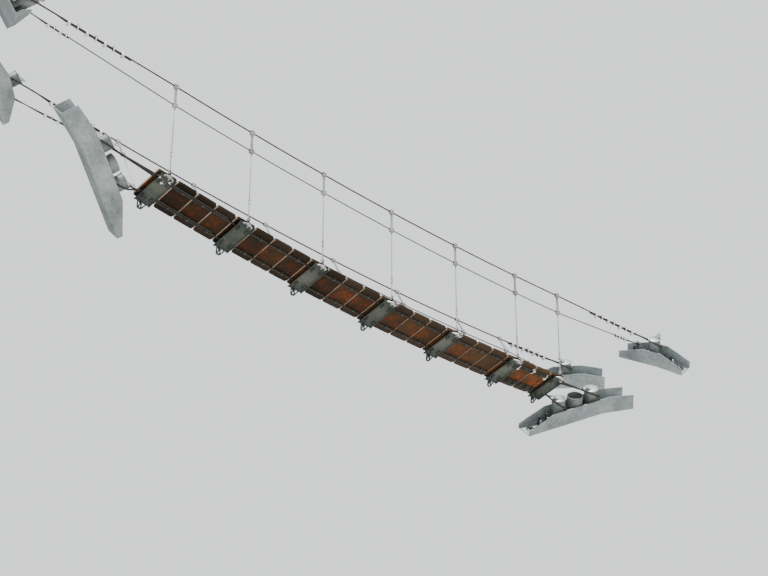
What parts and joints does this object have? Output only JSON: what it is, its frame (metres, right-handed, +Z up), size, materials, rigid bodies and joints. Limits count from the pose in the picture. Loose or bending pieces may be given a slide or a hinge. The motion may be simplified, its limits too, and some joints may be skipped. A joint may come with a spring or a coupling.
{
  "type": "rope suspension footbridge",
  "caption": "Rope suspension footbridge: timber boards on sagging steel cables, hung by rods from hand cables, with folded steel anchors for rock faces at both ends.",
  "frame": {"origin": "on the underside of the right-hand deck anchor, midway between its bollards, where it lies on the rock", "axes": "+X along the bridge towards the right-hand anchors, +Y across it towards the far side, +Z up"},
  "size_m": [10.1821, 1.6902, 1.7565],
  "materials": {
    "anchor_steel": "hot-dip galvanised, matt blue-grey",
    "galvanised_steel": "hot-dip galvanised, weathered",
    "wire_rope": "stranded steel wire, dull",
    "timber": "stained boards, weathered"
  },
  "bodies": {
    "root": {"deck_anchor_right": "anchor_steel", "deck_anchor_left": "anchor_steel", "hand_anchor_near_right": "anchor_steel", "hand_anchor_near_left": "anchor_steel", "hand_anchor_far_right": "anchor_steel", "hand_anchor_far_left": "anchor_steel", "deck_cable_near": "wire_rope", "deck_cable_far": "wire_rope", "hand_cable_near": "wire_rope", "hand_cable_far": "wire_rope", "safety_cable_near": "wire_rope", "safety_cable_far": "wire_rope", "deck_board_01": "timber", "deck_board_02": "timber", "deck_board_03": "timber", "deck_board_04": "timber", "deck_board_05": "timber", "deck_board_06": "timber", "deck_board_07": "timber", "deck_board_08": "timber", "deck_board_09": "timber", "deck_board_10": "timber", "deck_board_11": "timber", "deck_board_12": "timber", "deck_board_13": "timber", "deck_board_14": "timber", "deck_board_15": "timber", "deck_board_16": "timber", "deck_board_17": "timber", "deck_board_18": "timber", "deck_board_19": "timber", "deck_board_20": "timber", "deck_board_21": "timber", "deck_board_22": "timber", "deck_board_23": "timber", "deck_board_24": "timber", "cross_plate_0": "galvanised_steel", "cross_plate_1": "galvanised_steel", "cross_plate_2": "galvanised_steel", "cross_plate_3": "galvanised_steel", "cross_plate_4": "galvanised_steel", "cross_plate_5": "galvanised_steel", "cross_plate_6": "galvanised_steel", "hanger_near_0": "galvanised_steel", "hanger_near_1": "galvanised_steel", "hanger_near_2": "galvanised_steel", "hanger_near_3": "galvanised_steel", "hanger_near_4": "galvanised_steel", "hanger_near_5": "galvanised_steel", "hanger_near_6": "galvanised_steel", "hanger_far_0": "galvanised_steel", "hanger_far_1": "galvanised_steel", "hanger_far_2": "galvanised_steel", "hanger_far_3": "galvanised_steel", "hanger_far_4": "galvanised_steel", "hanger_far_5": "galvanised_steel", "hanger_far_6": "galvanised_steel"}
  },
  "joints": []
}
